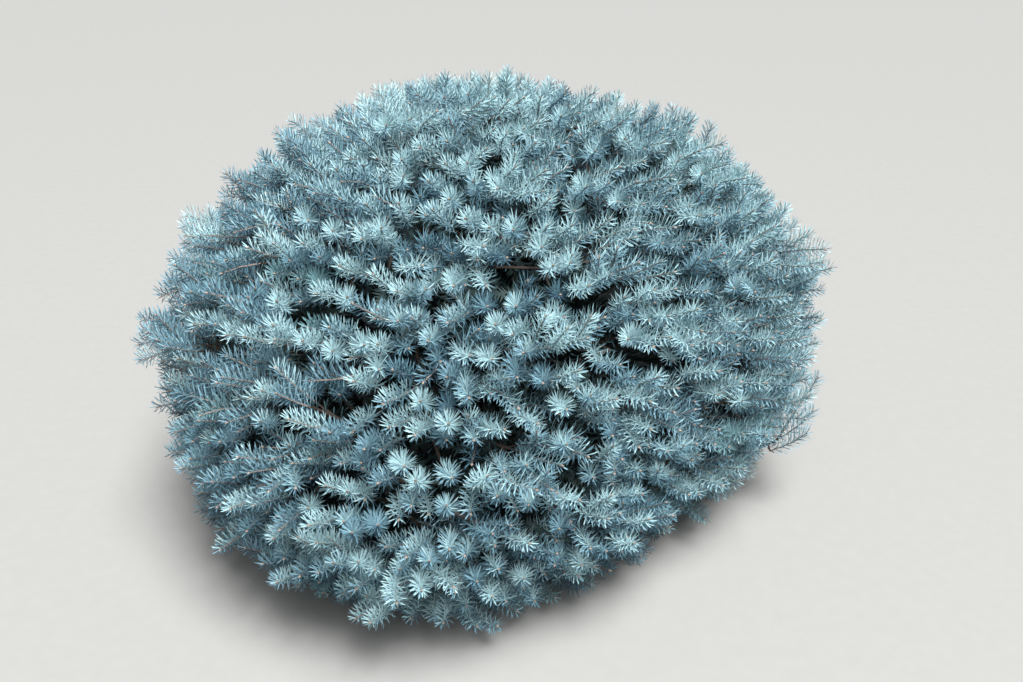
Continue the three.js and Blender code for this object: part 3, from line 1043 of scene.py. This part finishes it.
@dataclass
class Foliage:
    """The foliage of all the masses: stems, twigs, fans of shoots, buds and needles."""

    crown: Crown
    scaffold: Scaffold
    sprays: int = 165
    lowest: float = -19.0  # the slope from the heart to the lowest spray, in degrees
    stray: float = 0.022  # how far a spray stands proud of the crown or below it, at most
    stem_fork: float = 0.36  # the share of the way to its sprays at which a mass's stem forks
    twig_fork: float = 0.42  # the share of the rest at which a twig ends
    sprays_per_twig: int = 4
    twig_radii: tuple[float, float] = (0.006, 0.0035)
    fan_radii: tuple[float, float, float] = (0.0036, 0.0028, 0.0022)
    shoot_radii: tuple[float, float, float] = (0.0020, 0.0014, 0.0010)  # root, start of the growth, tip
    twig_grid: tuple[int, int] = (3, 3)  # rings of corners and sides
    limb_grid: tuple[int, int] = (4, 4)
    young_share: float = 0.97  # the most of a shoot that is this year's growth
    facings: tuple[float, ...] = (0, 30, 60, 75, 90)  # slopes of the crown's normal, in degrees
    rises: tuple[float, ...] = (26, 28, 32, 40, 62)  # the slope of the shoots on each
    rise_stray: float = 12.0
    turn_facings: tuple[float, ...] = (0, 40, 70)  # slopes of the crown's normal, in degrees
    turn_strays: tuple[float, ...] = (24, 24, 32)  # how far shoots on each stray round the trunk, in degrees
    open_side: tuple[float, float, float] = (0.03, -1.0, 0.0)  # the shoots turn a little towards this side
    light_pull: float = 0.22  # how far they do
    flat_top: float = 0.35  # below this slope the crown counts as flat, and a fan may lie any way round
    loose: float = 0.25  # how far such a fan's level is left to chance
    ground_room: float = 0.02  # the least height of a fan, a single shoot or an old spray
    tip_room: float = 0.022  # the height that the lowest tips need for their needles
    shoot_floor: float = 0.012  # the least height of a tip
    pull_back: float = 0.5  # the least share of its length that a shoot is drawn back to
    tuft_room: float = 0.7  # the share of a tuft's rise by which shoots may stand proud
    tip_gap: float = 0.030  # the least space between two tips
    shade_shares: tuple[float, float] = (0.90, 0.97)  # between these shares of the way out needles thin out
    shade_thinning: tuple[float, float] = (1.5, 1.0)
    tint_stray: float = 0.4  # the usual error of a needle's own tint
    painted_light_slope: float = 1.15  # how far the upper needles are paler than the lower ones: painted light above, painted shade below
    tint_middle: float = 0.35  # the slope of a needle that has its shoot's own tint
    bare_root: float = 0.1  # the share of an inner twig before its first needle
    fans: FanHabit = FanHabit()
    spray: SprayHabit = SprayHabit()
    fill: FillHabit = FillHabit()
    # the tints by place: partly wax, partly painted light on the top and painted shade on the -x side, low
    # down and inside
    wax: WaxAndPaintedLight = WaxAndPaintedLight()
    seed: int = 11
    shoots: Shoots = field(default_factory=Shoots)
    wood: list = field(default_factory=list)
    old: list = field(default_factory=list)

    def __post_init__(self) -> None:
        """Start the source of chance."""
        self.chance = np.random.default_rng(self.seed)

    def spread(self, count: int) -> Array:
        """Give directions from the heart that are spread evenly over the crown.

        Args:
            count: how many.

        Returns:
            Unit vectors (count, 3).
        """
        index = np.arange(count)
        rise = np.arcsin(mix(1, math.sin(math.radians(self.lowest)), (index + 0.5) / count))
        return heading(index * GOLDEN_TURN, rise)

    def spray_tips(self) -> Array:
        """Give the places that the sprays reach, as the solids have them.

        Returns:
            The places (sprays, 3).
        """
        directions = self.spread(self.sprays)
        proud = (2 * scatter(np.arange(self.sprays) + 1, 3) - 1) * self.stray
        return np.array(self.crown.heart) + directions * (self.crown.reach(directions) + proud)[:, None]

    @staticmethod
    def grouped(points: Array, count: int) -> list[Array]:
        """Sort points into groups about a few of them that lie far apart.

        Args:
            points: the points (n, 3).
            count: how many groups, at most.

        Returns:
            The numbers of the points in each group.
        """
        seeds = [0]
        while len(seeds) < min(count, len(points)):
            gaps = np.linalg.norm(points[:, None] - points[seeds][None], axis=2).min(axis=1)
            seeds.append(int(gaps.argmax()))
        owner = np.linalg.norm(points[:, None] - points[seeds][None], axis=2).argmin(axis=1)
        return [np.flatnonzero(owner == i) for i in range(len(seeds))]

    def grow(self) -> None:
        """Grow every mass: its stem, its twigs, and the fans at the twigs' ends."""
        masses = self.scaffold.masses()
        middles = np.array([mass.middle for mass in masses])
        tips = self.spray_tips()
        owner = np.linalg.norm(tips[:, None] - middles[None], axis=2).argmin(axis=1)
        for number, mass in enumerate(masses):
            self.grow_mass(mass, tips[owner == number])
        self.fill_holes()

    def grow_mass(self, mass: Mass, tips: Array) -> None:
        """Grow one mass from its stem to its fans.

        Args:
            mass: the mass.
            tips: the places that its sprays reach (n, 3).
        """
        fork = mix(mass.start, tips.mean(axis=0), self.stem_fork)
        reach = np.linalg.norm(fork - mass.start)
        bend = mass.start + mass.axis * reach / 2
        self.wood.append((mass.start, bend, fork, mass.stem, self.twig_radii[0]))
        for group in self.grouped(tips, math.ceil(len(tips) / self.sprays_per_twig)):
            end = mix(fork, tips[group].mean(axis=0), self.twig_fork)
            self.wood.append((fork, (fork + end) / 2, end, *self.twig_radii))
            for tip in tips[group]:
                self.grow_spray(end, tip)

    def grow_spray(self, end: Array, tip: Array) -> None:
        """Carry one spray on to three fans, one above the other, and to fans and old sprays in their shade.

        Args:
            end: the end of the twig that it grows on from.
            tip: the place that the spray reaches.
        """
        chance, habit = self.chance, self.spray
        normal = self.crown.outward(tip[None])[0]
        level = self.level_direction(normal)
        slope = np.cross(normal, level)
        proud = np.linalg.norm(tip - self.crown.heart) - self.surface_reach(tip)
        proud += chance.uniform(*habit.tuft_rise) * (chance.uniform() < habit.tuft_share)
        hands = chance.permutation((-1.0, 0.0, 1.0))
        for hand, drop in zip(hands, (0.0, *chance.uniform(0.0, habit.drop, 2))):
            up = hand * habit.layer_gap + chance.normal(0, habit.layer_stray)
            shift = slope * up + level * chance.normal(0, habit.side_stray)
            centre = self.on_surface(tip + shift, proud - drop)
            if centre[2] > self.ground_room:
                self.grow_fan(end, centre, int(chance.choice(self.fans.counts, p=self.fans.count_chances)))
        for hand in habit.under_hands:
            shift = slope * (hand * habit.layer_gap) + level * chance.normal(0, habit.under_side)
            self.grow_fan(end, self.on_surface(tip + shift, -habit.under_depth), habit.under_count)
        self.grow_old(end, tip)

    def fill_holes(self) -> None:
        """Grow single shoots where the fans leave a hole, but for a few hollows that stay open."""
        chance, habit = self.chance, self.fill
        directions = self.spread(habit.places)
        reach = self.crown.reach(directions) - chance.uniform(-habit.rise, habit.depth, habit.places)
        places = np.array(self.crown.heart) + directions * reach[:, None]
        hollows = places[chance.choice(habit.places, habit.hollows, replace=False)]
        ends = np.array([row[2] for row in self.wood])
        for place in chance.permutation(places):
            hollow = np.linalg.norm(hollows - place, axis=1).min() < habit.hollow_reach
            if not (hollow or place[2] < self.ground_room or self.shoots.crowd(place, habit.gap)):
                self.grow_filler(place, ends)

    def grow_filler(self, tip: Array, ends: Array) -> None:
        """Grow one shoot from the nearest wood to a hole in the crown.

        Args:
            tip: the place that it reaches.
            ends: the ends of the wood that is there (n, 3).
        """
        main = self.main_direction(tip)
        root = tip - main * self.chance.uniform(*self.fill.length)
        end = ends[np.linalg.norm(ends - root, axis=1).argmin()]
        self.wood.append((end, (end + root) / 2, root, *self.fan_radii[1:]))
        bend = (root + tip) / 2 - self.fill.sag * UP
        growth = self.chance.uniform(*self.fill.growth)
        self.shoots.add(root, bend, tip, growth, self.wax.choose(tip, self.crown, self.chance))

    def surface_reach(self, point: Array) -> float:
        """Give the distance from the heart to the surface, towards a point."""
        return float(self.crown.reach(unit(point - self.crown.heart)[None])[0])

    def on_surface(self, point: Array, proud: float) -> Array:
        """Move a point along its line from the heart until it stands so far proud of the surface."""
        direction = unit(point - self.crown.heart)
        return np.array(self.crown.heart) + direction * (self.surface_reach(point) + proud)

    def level_direction(self, normal: Array) -> Array:
        """Give the level direction across a fan, a chance one where the crown is flat on top.

        Args:
            normal: the direction square to the crown's surface.

        Returns:
            A unit vector at right angles to it.
        """
        turn = self.chance.uniform(0, 2 * math.pi)
        any_way = np.array([math.cos(turn), math.sin(turn), 0.0])
        level = np.cross(UP, normal)
        level = level + self.loose * any_way * (np.linalg.norm(level) < self.flat_top)
        return unit(level - normal * (level @ normal))

    def main_direction(self, tip: Array) -> Array:
        """Choose the direction of a shoot: outwards and a little up on the flanks, steeper on top.

        Args:
            tip: where it ends.

        Returns:
            A unit vector.
        """
        normal = self.crown.outward(tip[None])[0]
        facing = math.degrees(math.asin(np.clip(normal[2], -1, 1)))
        rise = np.interp(facing, self.facings, self.rises) + self.chance.normal(0, self.rise_stray)
        turn = self.chance.normal(0, np.interp(facing, self.turn_facings, self.turn_strays))
        azimuth = math.atan2(normal[1], normal[0]) + math.radians(turn)
        steepest = math.asin(min((tip[2] - self.tip_room) / self.fans.depth, 1))
        main = heading(azimuth, min(math.radians(rise), steepest))
        main = unit(main + self.light_pull * np.array(self.open_side))
        return heading(math.atan2(main[1], main[0]), min(math.asin(main[2]), steepest))

    def grow_fan(self, end: Array, centre: Array, count: int) -> None:
        """Grow one fan: its twig, its shoots side by side, and a few that rise from it.

        Args:
            end: the end of the twig that carries it.
            centre: the place of its middle shoot's tip.
            count: how many shoots stand side by side in it.
        """
        chance, habit = self.chance, self.fans
        main = self.main_direction(centre)
        level = self.level_direction(main)
        level = turned(level, main, math.radians(chance.normal(0, habit.roll)))
        above = np.cross(main, level)
        above = above if above @ UP >= 0 else -above
        fan = Fan(centre, main, level, above)
        collar = fan.behind(habit.depth * chance.uniform(*habit.depth_range))
        bend = collar - main * habit.twig_bend * np.linalg.norm(collar - end)
        bend[2] = max(bend[2], self.ground_room)
        before = len(self.shoots.curves)
        tint = self.wax.choose(centre, self.crown, chance)
        for i in range(count):
            offset = (i - (count - 1) / 2) * habit.gap + chance.normal(0, habit.gap_stray)
            self.grow_shoot(fan, offset, tint)
        for _ in range(int(chance.choice(habit.extras, p=habit.extra_chances))):
            root = fan.behind(chance.uniform(*habit.extra_fork)) + level * chance.normal(0, habit.extra_side)
            lift = math.radians(chance.uniform(*habit.extra_lift))
            side = level * chance.normal(0, habit.extra_aim)
            way = unit(main * math.cos(lift) + above * math.sin(lift) + side)
            tip = self.pulled_in(root, root + way * chance.uniform(*habit.extra_length))
            self.shoots.add(root, (root + tip) / 2, tip, habit.extra_growth, tint)
        if len(self.shoots.curves) > before:
            self.wood.append((end, bend, collar, *self.fan_radii[:2]))
            middle, top = (fan.behind(distance) for distance in habit.twig)
            self.wood.append((collar, middle, top, *self.fan_radii[1:]))

    def grow_shoot(self, fan: Fan, offset: float, tint: Tint) -> None:
        """Grow one of a fan's side-by-side shoots, which leaves the twig aslant and curves round beside it.

        Args:
            fan: the fan.
            offset: how far to the side of the middle its tip stands.
            tint: the wax on the fan's needles.
        """
        chance, habit = self.chance, self.fans
        turn = 0.5 * offset / habit.arc_radius + math.radians(chance.normal(0, habit.aim))
        tilt = math.radians(chance.normal(0, habit.aim))
        way = unit(fan.main * math.cos(turn) + fan.level * math.sin(turn) + fan.above * math.tan(tilt))
        back = offset**2 / (2 * habit.arc_radius) + chance.normal(0, habit.back_stray)
        tip = fan.centre + fan.level * offset - fan.main * back
        tip = tip + fan.above * chance.normal(0, habit.height_stray)
        fork = habit.fork + back + habit.fork_slope * abs(offset) + chance.uniform(0, habit.fork_range)
        root = fan.behind(min(fork, habit.depth))
        tip = self.pulled_in(root, tip)
        if self.shoots.crowd(tip, self.tip_gap):
            return
        bend = tip - way * 0.5 * np.linalg.norm(tip - root)
        growth = chance.uniform(*habit.growth) + habit.leader * (abs(offset) < habit.gap / 2)
        if chance.uniform() < habit.own_tint:
            tint = self.wax.choose(tip, self.crown, chance)
        self.shoots.add(root, bend, tip, growth, tint)

    def grow_old(self, end: Array, tip: Array) -> None:
        """Fill the shade under a spray with old sprays, their dead needles close together and dark as
        painted shade.

        Args:
            end: the end of the twig that they grow on from.
            tip: the place that the spray reaches.
        """
        chance, habit = self.chance, self.spray
        outward = unit(tip - self.crown.heart)
        for _ in range(habit.old_sprays):
            root = mix(end, tip, chance.uniform(*habit.old_start)) + chance.normal(0, habit.old_stray, 3)
            way = unit(outward * chance.uniform(0, habit.old_aim) + chance.normal(0, habit.old_spread, 3))
            top = root + way * chance.uniform(*habit.old_length)
            if min(root[2], top[2]) > self.ground_room and self.crown.share(top) < habit.old_share:
                self.old.append((root, top, unit(chance.normal(0, 1, 3))))

    def pulled_in(self, root: Array, tip: Array) -> Array:
        """Draw a shoot's tip back along the shoot where it stands too far proud of the crown.

        Args:
            root: where the shoot starts.
            tip: where it would end.

        Returns:
            Where it ends.
        """
        steps = np.linspace(1, self.pull_back, 11)[:, None]
        places = mix(root, tip, steps)
        allowed = 1 + (self.stray + self.tuft_room * self.spray.tuft_rise[1]) / self.crown.radius
        fits = (self.crown.share(places) < allowed) & (places[:, 2] > self.shoot_floor)
        return places[fits.argmax()] if fits.any() else places[-1]

    def build(self) -> dict[str, Shape]:
        """Make the corners and triangles of every kind of part.

        Returns:
            For each piece's name, its corners and triangles.
        """
        self.grow()
        curves = np.array(self.shoots.curves)
        young = 1 - np.minimum(np.array(self.shoots.growth) / lengths_of(curves), self.young_share)
        outer = np.stack([young, np.ones(len(curves))], axis=1)
        inner = np.stack([np.zeros(len(curves)), young], axis=1)
        outer_radii = np.tile(self.shoot_radii[1:], (len(curves), 1))
        inner_radii = np.tile(self.shoot_radii[:2], (len(curves), 1))
        wood = np.array([row[:3] for row in self.wood])
        whole = np.tile([0.0, 1.0], (len(wood), 1))
        wood_radii = np.array([row[3:] for row in self.wood])
        parts = {"twigs": tapered_limbs(curves, outer, outer_radii, *self.twig_grid)}
        parts["buds"] = Bud().build(curves)
        parts["inner_twigs"] = tapered_limbs(curves, inner, inner_radii, *self.twig_grid)
        parts["limbs"] = tapered_limbs(wood, whole, wood_radii, *self.limb_grid)
        parts["old_sprays"] = OldSpray().build(self.old, self.chance)
        thinning = np.interp(self.crown.share(curves[:, 2]), self.shade_shares, self.shade_thinning)
        corners, owner = YOUNG_NEEDLES.corners(curves, outer, thinning, self.chance)
        tints = self.needle_tints(corners, owner)
        old = self.build_old_needles(curves, inner)
        corners = np.concatenate([corners, old])
        tints = np.concatenate([tints, np.full(len(old), list(Tint).index(Tint.OLD))])
        clear = (corners[:, :, 2] > LEAST_HEIGHT).all(axis=1)
        for number, tint in enumerate(Tint):
            chosen = corners[clear & (tints == number)]
            parts |= self.split(f"needles_{tint.value}", chosen)
        return parts

    def needle_tints(self, corners: Array, owner: Array) -> Array:
        """Give each young needle its shoot's wax, paler on the upper side as painted light and darker on the
        lower as painted shade.

        Args:
            corners: the needles' corners (needles, 5, 3).
            owner: the number of the shoot that each stands on.

        Returns:
            The number of each needle's tint.
        """
        own = np.array([list(Tint).index(tint) for tint in self.shoots.tints])[owner]
        # painted light and shade: needles that point up get paler tints, those that point down darker ones
        upward = unit(corners[:, 4] - corners[:, 0])[:, 2]
        chance = self.chance.normal(0, self.tint_stray, len(own))
        strays = np.rint(chance + self.painted_light_slope * (self.tint_middle - upward)).astype(int)
        last = list(Tint).index(Tint.SLATE)
        return np.where(own <= last, np.clip(own + strays, 0, last), own)

    @staticmethod
    def split(name: str, needles: Array) -> dict[str, Shape]:
        """Join needles into as few pieces as the limit on triangles lets.

        Args:
            name: the pieces' name, before its number.
            needles: the needles' corners (needles, 5, 3).

        Returns:
            For each piece's name, its corners and triangles.
        """
        pieces = math.ceil(len(NEEDLE_FACES) * len(needles) / PIECE_TRIANGLES)
        shares = np.array_split(needles, pieces)
        return {f"{name}_{number + 1}": joined(share, NEEDLE_FACES) for number, share in enumerate(shares)}

    def build_old_needles(self, curves: Array, inner: Array) -> Array:
        """Set the sparse dark needles of earlier years on the inner wood.

        Args:
            curves: the shoots' control points (shoots, 3, 3).
            inner: the shares of each shoot's way between which it is older (shoots, 2).

        Returns:
            The needles' corners (needles, 5, 3).
        """
        first = OLD_NEEDLES.corners(curves, inner, 1.0, self.chance)[0]
        wood = np.array([row[:3] for row in self.wood if row[3] < LEAFY_RADIUS])
        whole = np.tile([self.bare_root, 1.0], (len(wood), 1))
        second = OLD_NEEDLES.corners(wood, whole, 1.0, self.chance)[0]
        return np.concatenate([first, second])

    def dress(self, masses: list[str]) -> None:
        """Make and place every piece of the foliage, with its finish.

        Args:
            masses: the names of the solids that it stands for.
        """
        finishes = {"twigs": (YOUNG_TWIG.material(), "bark"), "limbs": (OLD_TWIG.material(), "bark")}
        finishes["inner_twigs"] = finishes["limbs"]
        finishes["buds"] = (BudScales().material(), "bark")
        finishes["old_sprays"] = (SHADED_NEEDLES.material(), "needles")
        for tint, wax in NEEDLE_FINISHES.items():
            finishes[f"needles_{tint.value}"] = (wax.material(), "needles")
        for name, shape in self.build().items():
            kind = name.rsplit("_", 1)[0] if name.startswith("needles_") else name
            settle_piece(mesh_piece(name, shape, smooth=False), *finishes[kind], masses)


@dataclass(frozen=True)
class DenseInside:
    """The mat of dead needles inside the crown, near black as painted shade: a lumpy dome with a tuft on
    each facet.
    """

    crown: Crown
    depth: float = 0.78  # the share of the way to the crown's surface that it fills
    lumps: float = 0.14  # the most that a lump takes off that
    tuft: float = 0.022
    least_tuft: float = 0.4  # the lowest tuft's height, over the highest's
    floor: float = 0.034  # its lowest height
    tuft_drop: float = 0.01  # how far below the floor a tuft may reach
    detail: int = 6

    def build(self) -> Shape:
        """Pull a ball out to below the crown's surface and raise a point on every facet.

        Returns:
            The corners and triangles.
        """
        ball = bmesh.new()
        bmesh.ops.create_icosphere(ball, subdivisions=self.detail, radius=1.0)
        directions = np.array([corner.co for corner in ball.verts])
        faces = np.array([[corner.index for corner in face.verts] for face in ball.faces])
        ball.free()
        mark = np.round(1000 * directions @ np.array([1.0, 2.0, 3.0]))  # each corner's own whole number
        share = self.depth * (1 - self.lumps * scatter(mark, 7))
        heart = np.array(self.crown.heart)
        rim = heart + directions * (self.crown.reach(directions) * share)[:, None]
        rim[:, 2] = np.maximum(rim[:, 2], self.floor)
        middle = rim[faces].mean(axis=1)
        order = np.arange(len(faces))
        height = self.tuft * mix(self.least_tuft, 1.0, scatter(order, 5))
        tips = middle + unit(middle - heart) * height[:, None]
        tips[:, 2] = np.maximum(tips[:, 2], self.floor - self.tuft_drop)
        point = len(rim) + order
        sides = [np.stack([faces[:, i], faces[:, (i + 1) % 3], point], axis=1) for i in range(3)]
        return np.concatenate([rim, tips]), np.concatenate(sides)

    def dress(self, masses: list[str]) -> None:
        """Make and place the mat, with its finish, for the solids of these names."""
        piece = mesh_piece("inside_mat", self.build(), smooth=False)
        settle_piece(piece, DEAD_NEEDLES_PAINTED_SHADE.material(), "needles", masses)


@dataclass(frozen=True)
class BarkRelief:
    """Flaking scales in the round: a cell pattern over a limb's skin, with a crack between the scales."""

    scale_height: float = 0.016
    scales_round: int = 9
    rows: int = 31  # the step in a cell's own number from row to row
    depth: float = 0.0016
    rim: float = 0.35  # how wide the crack beside a scale is, in cells
    level: float = 0.6  # the part of the relief that lies below the limb's own skin

    def heights(self, along: Array, angle: Array, length: float, seed: int) -> Array:
        """Give the relief's height on a limb.

        Args:
            along: shares of the way (stations, 1).
            angle: the angles round (1, sides).
            length: the limb's length.
            seed: the limb's own number.

        Returns:
            Heights to add to the radius (stations, sides).
        """
        u = angle / (2 * math.pi) * self.scales_round + 0 * along
        v = along * length / self.scale_height + 0 * angle
        nearest = np.full(u.shape, np.inf)
        second = np.full(u.shape, np.inf)
        for step_u in (-1, 0, 1):
            for step_v in (-1, 0, 1):
                cell_u = np.floor(u) + step_u
                cell_v = np.floor(v) + step_v
                mark = np.mod(cell_u, self.scales_round) + self.rows * cell_v
                gap_u = cell_u + scatter(mark, seed) - u
                gap_v = cell_v + scatter(mark, seed + 1) - v
                gap = np.hypot(gap_u, gap_v)
                second = np.minimum(second, np.maximum(nearest, gap))
                nearest = np.minimum(nearest, gap)
        rim = np.clip((second - nearest) / self.rim, 0, 1)
        return self.depth * (rim - self.level)


@dataclass
class Wood:
    """The trunk and the boughs, with their bark in relief."""

    scaffold: Scaffold
    relief: BarkRelief = BarkRelief()
    finish: SpruceBark = SpruceBark()
    trunk_grid: tuple[int, int] = (110, 72)  # stations and sides
    bough_grid: tuple[int, int] = (30, 20)
    bough_length: float = 0.2  # the length that the scales of every bough are dealt out over
    bough_relief: float = 60.0  # turns the relief into a share of the bough's radius

    def build_trunk(self) -> Shape:
        """Make the trunk, flat at the ground, its flare split into roots.

        Returns:
            The corners and triangles.
        """
        stations, sides = self.trunk_grid
        along = np.linspace(0, 1, stations)[:, None]
        angle = (np.arange(sides) * 2 * math.pi / sides)[None]
        skin = self.relief.heights(along, angle, self.scaffold.trunk_height, 3)
        radii = self.scaffold.trunk_radius(along, angle) + skin
        line = bezier(self.scaffold.trunk_curve(), along.T)
        return tubes(line, radii[None], sides)

    def build_whorl(self, tier: int, masses: list[Mass]) -> Shape:
        """Make a whorl's boughs as one piece.

        Args:
            tier: which whorl.
            masses: the masses that its boughs carry.

        Returns:
            The corners and triangles.
        """
        stations, sides = self.bough_grid
        along = np.linspace(0, 1, stations)
        angle = (np.arange(sides) * 2 * math.pi / sides)[None]
        whorl = self.scaffold.whorls[tier]
        taper = mix(whorl.radius, whorl.radius * self.scaffold.bough_taper, along)[:, None]
        lines, skins = [], []
        for i, mass in enumerate(masses):
            lines.append(self.scaffold.bough_line(mass, tier, i, along))
            skins.append(self.relief.heights(along[:, None], angle, self.bough_length, 5 + 2 * i))
        radii = taper[None] * (1 + self.bough_relief * np.array(skins))
        return tubes(np.array(lines), radii, sides)

    def dress(self) -> None:
        """Make and place the trunk and each whorl of boughs."""
        material = self.finish.material()
        trunk = mesh_piece("bark_trunk", self.build_trunk(), smooth=True)
        settle_piece(trunk, material, "bark", ["trunk"])
        masses = self.scaffold.masses()
        for tier, whorl in enumerate(self.scaffold.whorls):
            own = [mass for mass in masses if mass.name.startswith(whorl.name)]
            boughs = mesh_piece(f"bark_boughs_{whorl.name}", self.build_whorl(tier, own), smooth=True)
            settle_piece(boughs, material, "bark", [f"bough_{mass.name}" for mass in own])


@dataclass
class Studio:
    """A plain pale floor, soft light from above and in front, and the camera at the photograph's angle."""

    floor_size: float = 30.0
    camera_place: tuple[float, float, float] = (0.053, -1.583, 1.15)
    camera_pitch: float = 29.0
    focal_pixels: float = 950.0
    image_width: float = 1023.0
    sensor: float = 36.0  # the camera's width, in mm
    paper: tuple[str, str] = ("#8a8a87", "#8f8e8c")
    air: str = "#eff8ff"  # the colour of the light from all round
    air_strength: float = 0.29
    sky_angle: float = 28.0  # how wide the light from above is, in degrees
    sky_power: float = 7.6
    sky_tilt: tuple[float, float] = (16.0, 12.0)  # in degrees
    fill_place: tuple[float, float, float] = (0.1, -2.5, 3.0)
    fill_aim: tuple[float, float, float] = (0.0, 0.0, 0.4)
    fill_size: float = 2.5
    fill_power: float = 54.0

    def build(self) -> None:
        """Make the floor, the lights, the world and the camera."""
        self.build_floor()
        self.add_sky_light()
        self.add_fill_light()
        world = bpy.data.worlds.new("studio")
        world.use_nodes = True
        background = world.node_tree.nodes["Background"]
        background.inputs["Color"].default_value = linear(self.air)
        background.inputs["Strength"].default_value = self.air_strength
        bpy.context.scene.world = world
        bpy.context.scene.view_settings.view_transform = "Standard"
        self.add_camera()

    def build_floor(self) -> None:
        """Make the floor, a plain pale sheet that isn't part of the plant."""
        half = self.floor_size / 2
        corners = half * np.array([(-1, -1, 0), (1, -1, 0), (1, 1, 0), (-1, 1, 0)], float)
        floor = mesh_piece("studio_floor", (corners, np.array([(0, 1, 2), (0, 2, 3)])), smooth=False)
        material, tree, place = new_material("studio_paper")
        fibre = add_node(tree, "ShaderNodeTexNoise", {"Scale": 40.0}, {"Vector": place}).outputs["Fac"]
        finish_material(material, fibre, self.paper, {"Roughness": 0.95}, {})
        floor.data.materials.append(material)

    def add_sky_light(self) -> None:
        """Add the wide soft light from above and a little in front, even over the whole floor."""
        data = bpy.data.lights.new("soft_top", "SUN")
        data.angle = math.radians(self.sky_angle)
        data.energy = self.sky_power
        place_object("soft_top", data, (0, 0, 0), (*np.radians(self.sky_tilt), 0))

    def add_fill_light(self) -> None:
        """Add the square soft light in front."""
        data = bpy.data.lights.new("fill", "AREA")
        data.size = self.fill_size
        data.energy = self.fill_power
        way = np.array(self.fill_aim) - np.array(self.fill_place)
        pitch = math.acos(-way[2] / np.linalg.norm(way))
        place_object("fill", data, self.fill_place, (pitch, 0, math.atan2(way[1], way[0]) - math.pi / 2))

    def add_camera(self) -> None:
        """Add the camera, level from side to side, that looks along +Y and down."""
        data = bpy.data.cameras.new("camera")
        data.sensor_width = self.sensor
        data.lens = self.focal_pixels / self.image_width * self.sensor
        turn = (math.radians(90 - self.camera_pitch), 0, 0)
        bpy.context.scene.camera = place_object("camera", data, self.camera_place, turn)


def main() -> None:
    """Build the shrub on its frame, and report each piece."""
    logging.basicConfig(level=logging.INFO, format="%(message)s")
    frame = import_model()
    crown = Crown()
    scaffold = Scaffold(crown)
    masses = [name for name in frame["nodes"] if name.startswith("foliage_")]
    Wood(scaffold).dress()
    DenseInside(crown).dress(masses)
    Foliage(crown, scaffold).dress(masses)
    Studio().build()
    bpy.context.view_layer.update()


if __name__ == "__main__":
    main()
